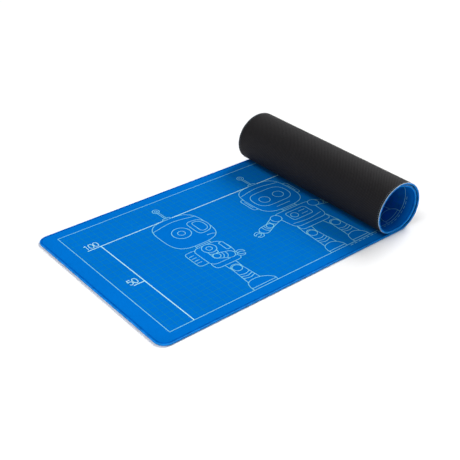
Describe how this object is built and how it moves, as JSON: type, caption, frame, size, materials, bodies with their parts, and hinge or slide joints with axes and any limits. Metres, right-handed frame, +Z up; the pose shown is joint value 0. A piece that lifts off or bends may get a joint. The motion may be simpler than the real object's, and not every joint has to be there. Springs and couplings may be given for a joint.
{
  "type": "desk mat",
  "caption": "Rectangular desk mat with a printed cloth face, a rubber back and a sewn edge, flat at one end and rolled up at the other.",
  "frame": {"origin": "on the table, under the middle of the whole object's box as stored, flat part and roll together", "axes": "+X along the flat part towards the roll, +Y across the mat, +Z up from the table"},
  "size_m": [0.4503, 0.3, 0.0779],
  "materials": {
    "rubber": "matt black natural rubber with a fine anti-slip texture",
    "printed_cloth": "close polyester knit, dye printed",
    "edge_thread": "overlock polyester thread"
  },
  "bodies": {
    "flat_part": {"rubber_base": "rubber", "printed_cloth": "printed_cloth", "edge_stitching": "edge_thread"},
    "curl_01": {"rubber_curl_01": "rubber", "cloth_curl_01": "printed_cloth"},
    "curl_02": {"rubber_curl_02": "rubber", "cloth_curl_02": "printed_cloth"},
    "curl_03": {"rubber_curl_03": "rubber", "cloth_curl_03": "printed_cloth"},
    "curl_04": {"rubber_curl_04": "rubber", "cloth_curl_04": "printed_cloth"},
    "curl_05": {"rubber_curl_05": "rubber", "cloth_curl_05": "printed_cloth"},
    "curl_06": {"rubber_curl_06": "rubber", "cloth_curl_06": "printed_cloth"},
    "curl_07": {"rubber_curl_07": "rubber", "cloth_curl_07": "printed_cloth"},
    "curl_08": {"rubber_curl_08": "rubber", "cloth_curl_08": "printed_cloth"},
    "curl_09": {"rubber_curl_09": "rubber", "cloth_curl_09": "printed_cloth"},
    "curl_10": {"rubber_curl_10": "rubber", "cloth_curl_10": "printed_cloth"},
    "curl_11": {"rubber_curl_11": "rubber", "cloth_curl_11": "printed_cloth"},
    "curl_12": {"rubber_curl_12": "rubber", "cloth_curl_12": "printed_cloth"},
    "curl_13": {"rubber_curl_13": "rubber", "cloth_curl_13": "printed_cloth"},
    "curl_14": {"rubber_curl_14": "rubber", "cloth_curl_14": "printed_cloth"},
    "curl_15": {"rubber_curl_15": "rubber", "cloth_curl_15": "printed_cloth"},
    "curl_16": {"rubber_curl_16": "rubber", "cloth_curl_16": "printed_cloth"},
    "curl_17": {"rubber_curl_17": "rubber", "cloth_curl_17": "printed_cloth"},
    "curl_18": {"rubber_curl_18": "rubber", "cloth_curl_18": "printed_cloth"},
    "curl_19": {"rubber_curl_19": "rubber", "cloth_curl_19": "printed_cloth"},
    "curl_20": {"rubber_curl_20": "rubber", "cloth_curl_20": "printed_cloth"},
    "curl_21": {"rubber_curl_21": "rubber", "cloth_curl_21": "printed_cloth"},
    "curl_22": {"rubber_curl_22": "rubber", "cloth_curl_22": "printed_cloth"},
    "curl_23": {"rubber_curl_23": "rubber", "cloth_curl_23": "printed_cloth"},
    "curl_24": {"rubber_curl_24": "rubber", "cloth_curl_24": "printed_cloth"},
    "curl_25": {"rubber_curl_25": "rubber", "cloth_curl_25": "printed_cloth"},
    "curl_26": {"rubber_curl_26": "rubber", "cloth_curl_26": "printed_cloth"},
    "curl_27": {"rubber_curl_27": "rubber", "cloth_curl_27": "printed_cloth"},
    "curl_28": {"rubber_curl_28": "rubber", "cloth_curl_28": "printed_cloth"}
  },
  "joints": [
    {"name": "unroll_01", "type": "hinge", "parent": "flat_part", "child": "curl_01", "pos_m": [0.19084, 0, 0], "axis": [0, 1, 0], "range_deg": [0, 6.03]},
    {"name": "unroll_02", "type": "hinge", "parent": "curl_01", "child": "curl_02", "pos_m": [0.20206, 0, 0.00198], "axis": [0, 1, 0], "range_deg": [0, 23.97]},
    {"name": "unroll_03", "type": "hinge", "parent": "curl_02", "child": "curl_03", "pos_m": [0.21224, 0, 0.00785], "axis": [0, 1, 0], "range_deg": [0, 20]},
    {"name": "unroll_04", "type": "hinge", "parent": "curl_03", "child": "curl_04", "pos_m": [0.22014, 0, 0.01727], "axis": [0, 1, 0], "range_deg": [0, 20]},
    {"name": "unroll_05", "type": "hinge", "parent": "curl_04", "child": "curl_05", "pos_m": [0.22456, 0, 0.02943], "axis": [0, 1, 0], "range_deg": [0, 20]},
    {"name": "unroll_06", "type": "hinge", "parent": "curl_05", "child": "curl_06", "pos_m": [0.22456, 0, 0.04305], "axis": [0, 1, 0], "range_deg": [0, 20]},
    {"name": "unroll_07", "type": "hinge", "parent": "curl_06", "child": "curl_07", "pos_m": [0.21969, 0, 0.05644], "axis": [0, 1, 0], "range_deg": [0, 20]},
    {"name": "unroll_08", "type": "hinge", "parent": "curl_07", "child": "curl_08", "pos_m": [0.21021, 0, 0.06774], "axis": [0, 1, 0], "range_deg": [0, 20]},
    {"name": "unroll_09", "type": "hinge", "parent": "curl_08", "child": "curl_09", "pos_m": [0.19717, 0, 0.07527], "axis": [0, 1, 0], "range_deg": [0, 20]},
    {"name": "unroll_10", "type": "hinge", "parent": "curl_09", "child": "curl_10", "pos_m": [0.18224, 0, 0.0779], "axis": [0, 1, 0], "range_deg": [0, 20]},
    {"name": "unroll_11", "type": "hinge", "parent": "curl_10", "child": "curl_11", "pos_m": [0.16747, 0, 0.07529], "axis": [0, 1, 0], "range_deg": [0, 20]},
    {"name": "unroll_12", "type": "hinge", "parent": "curl_11", "child": "curl_12", "pos_m": [0.15479, 0, 0.06797], "axis": [0, 1, 0], "range_deg": [0, 20]},
    {"name": "unroll_13", "type": "hinge", "parent": "curl_12", "child": "curl_13", "pos_m": [0.14572, 0, 0.05717], "axis": [0, 1, 0], "range_deg": [0, 20]},
    {"name": "unroll_14", "type": "hinge", "parent": "curl_13", "child": "curl_14", "pos_m": [0.14112, 0, 0.04453], "axis": [0, 1, 0], "range_deg": [0, 20]},
    {"name": "unroll_15", "type": "hinge", "parent": "curl_14", "child": "curl_15", "pos_m": [0.14112, 0, 0.03175], "axis": [0, 1, 0], "range_deg": [0, 20]},
    {"name": "unroll_16", "type": "hinge", "parent": "curl_15", "child": "curl_16", "pos_m": [0.14528, 0, 0.02034], "axis": [0, 1, 0], "range_deg": [0, 20]},
    {"name": "unroll_17", "type": "hinge", "parent": "curl_16", "child": "curl_17", "pos_m": [0.15276, 0, 0.01142], "axis": [0, 1, 0], "range_deg": [0, 20]},
    {"name": "unroll_18", "type": "hinge", "parent": "curl_17", "child": "curl_18", "pos_m": [0.16258, 0, 0.00575], "axis": [0, 1, 0], "range_deg": [0, 20]},
    {"name": "unroll_19", "type": "hinge", "parent": "curl_18", "child": "curl_19", "pos_m": [0.17365, 0, 0.0038], "axis": [0, 1, 0], "range_deg": [0, 10]},
    {"name": "unroll_20", "type": "hinge", "parent": "curl_19", "child": "curl_20", "pos_m": [0.18385, 0, 0.0038], "axis": [0, 1, 0], "range_deg": [0, 10.25]},
    {"name": "unroll_21", "type": "hinge", "parent": "curl_20", "child": "curl_21", "pos_m": [0.1959, 0, 0.00598], "axis": [0, 1, 0], "range_deg": [0, 20.5]},
    {"name": "unroll_22", "type": "hinge", "parent": "curl_21", "child": "curl_22", "pos_m": [0.20655, 0, 0.01232], "axis": [0, 1, 0], "range_deg": [0, 20.5]},
    {"name": "unroll_23", "type": "hinge", "parent": "curl_22", "child": "curl_23", "pos_m": [0.21438, 0, 0.02207], "axis": [0, 1, 0], "range_deg": [0, 20.5]},
    {"name": "unroll_24", "type": "hinge", "parent": "curl_23", "child": "curl_24", "pos_m": [0.21832, 0, 0.03402], "axis": [0, 1, 0], "range_deg": [0, 20.5]},
    {"name": "unroll_25", "type": "hinge", "parent": "curl_24", "child": "curl_25", "pos_m": [0.21783, 0, 0.04661], "axis": [0, 1, 0], "range_deg": [0, 20.5]},
    {"name": "unroll_26", "type": "hinge", "parent": "curl_25", "child": "curl_26", "pos_m": [0.21297, 0, 0.05821], "axis": [0, 1, 0], "range_deg": [0, 20.5]},
    {"name": "unroll_27", "type": "hinge", "parent": "curl_26", "child": "curl_27", "pos_m": [0.20441, 0, 0.0673], "axis": [0, 1, 0], "range_deg": [0, 20.5]},
    {"name": "unroll_28", "type": "hinge", "parent": "curl_27", "child": "curl_28", "pos_m": [0.19332, 0, 0.07277], "axis": [0, 1, 0], "range_deg": [0, 22.56]}
  ],
  "couplings": [
    {"joint": "unroll_01", "follows": "unroll_02", "ratio": 0.25137},
    {"joint": "unroll_03", "follows": "unroll_02", "ratio": 0.83424},
    {"joint": "unroll_04", "follows": "unroll_02", "ratio": 0.83424},
    {"joint": "unroll_05", "follows": "unroll_02", "ratio": 0.83424},
    {"joint": "unroll_06", "follows": "unroll_02", "ratio": 0.83424},
    {"joint": "unroll_07", "follows": "unroll_02", "ratio": 0.83424},
    {"joint": "unroll_08", "follows": "unroll_02", "ratio": 0.83424},
    {"joint": "unroll_09", "follows": "unroll_02", "ratio": 0.83424},
    {"joint": "unroll_10", "follows": "unroll_02", "ratio": 0.83424},
    {"joint": "unroll_11", "follows": "unroll_02", "ratio": 0.83424},
    {"joint": "unroll_12", "follows": "unroll_02", "ratio": 0.83424},
    {"joint": "unroll_13", "follows": "unroll_02", "ratio": 0.83424},
    {"joint": "unroll_14", "follows": "unroll_02", "ratio": 0.83424},
    {"joint": "unroll_15", "follows": "unroll_02", "ratio": 0.83424},
    {"joint": "unroll_16", "follows": "unroll_02", "ratio": 0.83424},
    {"joint": "unroll_17", "follows": "unroll_02", "ratio": 0.83424},
    {"joint": "unroll_18", "follows": "unroll_02", "ratio": 0.83424},
    {"joint": "unroll_19", "follows": "unroll_02", "ratio": 0.41712},
    {"joint": "unroll_20", "follows": "unroll_02", "ratio": 0.42755},
    {"joint": "unroll_21", "follows": "unroll_02", "ratio": 0.8551},
    {"joint": "unroll_22", "follows": "unroll_02", "ratio": 0.8551},
    {"joint": "unroll_23", "follows": "unroll_02", "ratio": 0.8551},
    {"joint": "unroll_24", "follows": "unroll_02", "ratio": 0.8551},
    {"joint": "unroll_25", "follows": "unroll_02", "ratio": 0.8551},
    {"joint": "unroll_26", "follows": "unroll_02", "ratio": 0.8551},
    {"joint": "unroll_27", "follows": "unroll_02", "ratio": 0.8551},
    {"joint": "unroll_28", "follows": "unroll_02", "ratio": 0.94109}
  ]
}
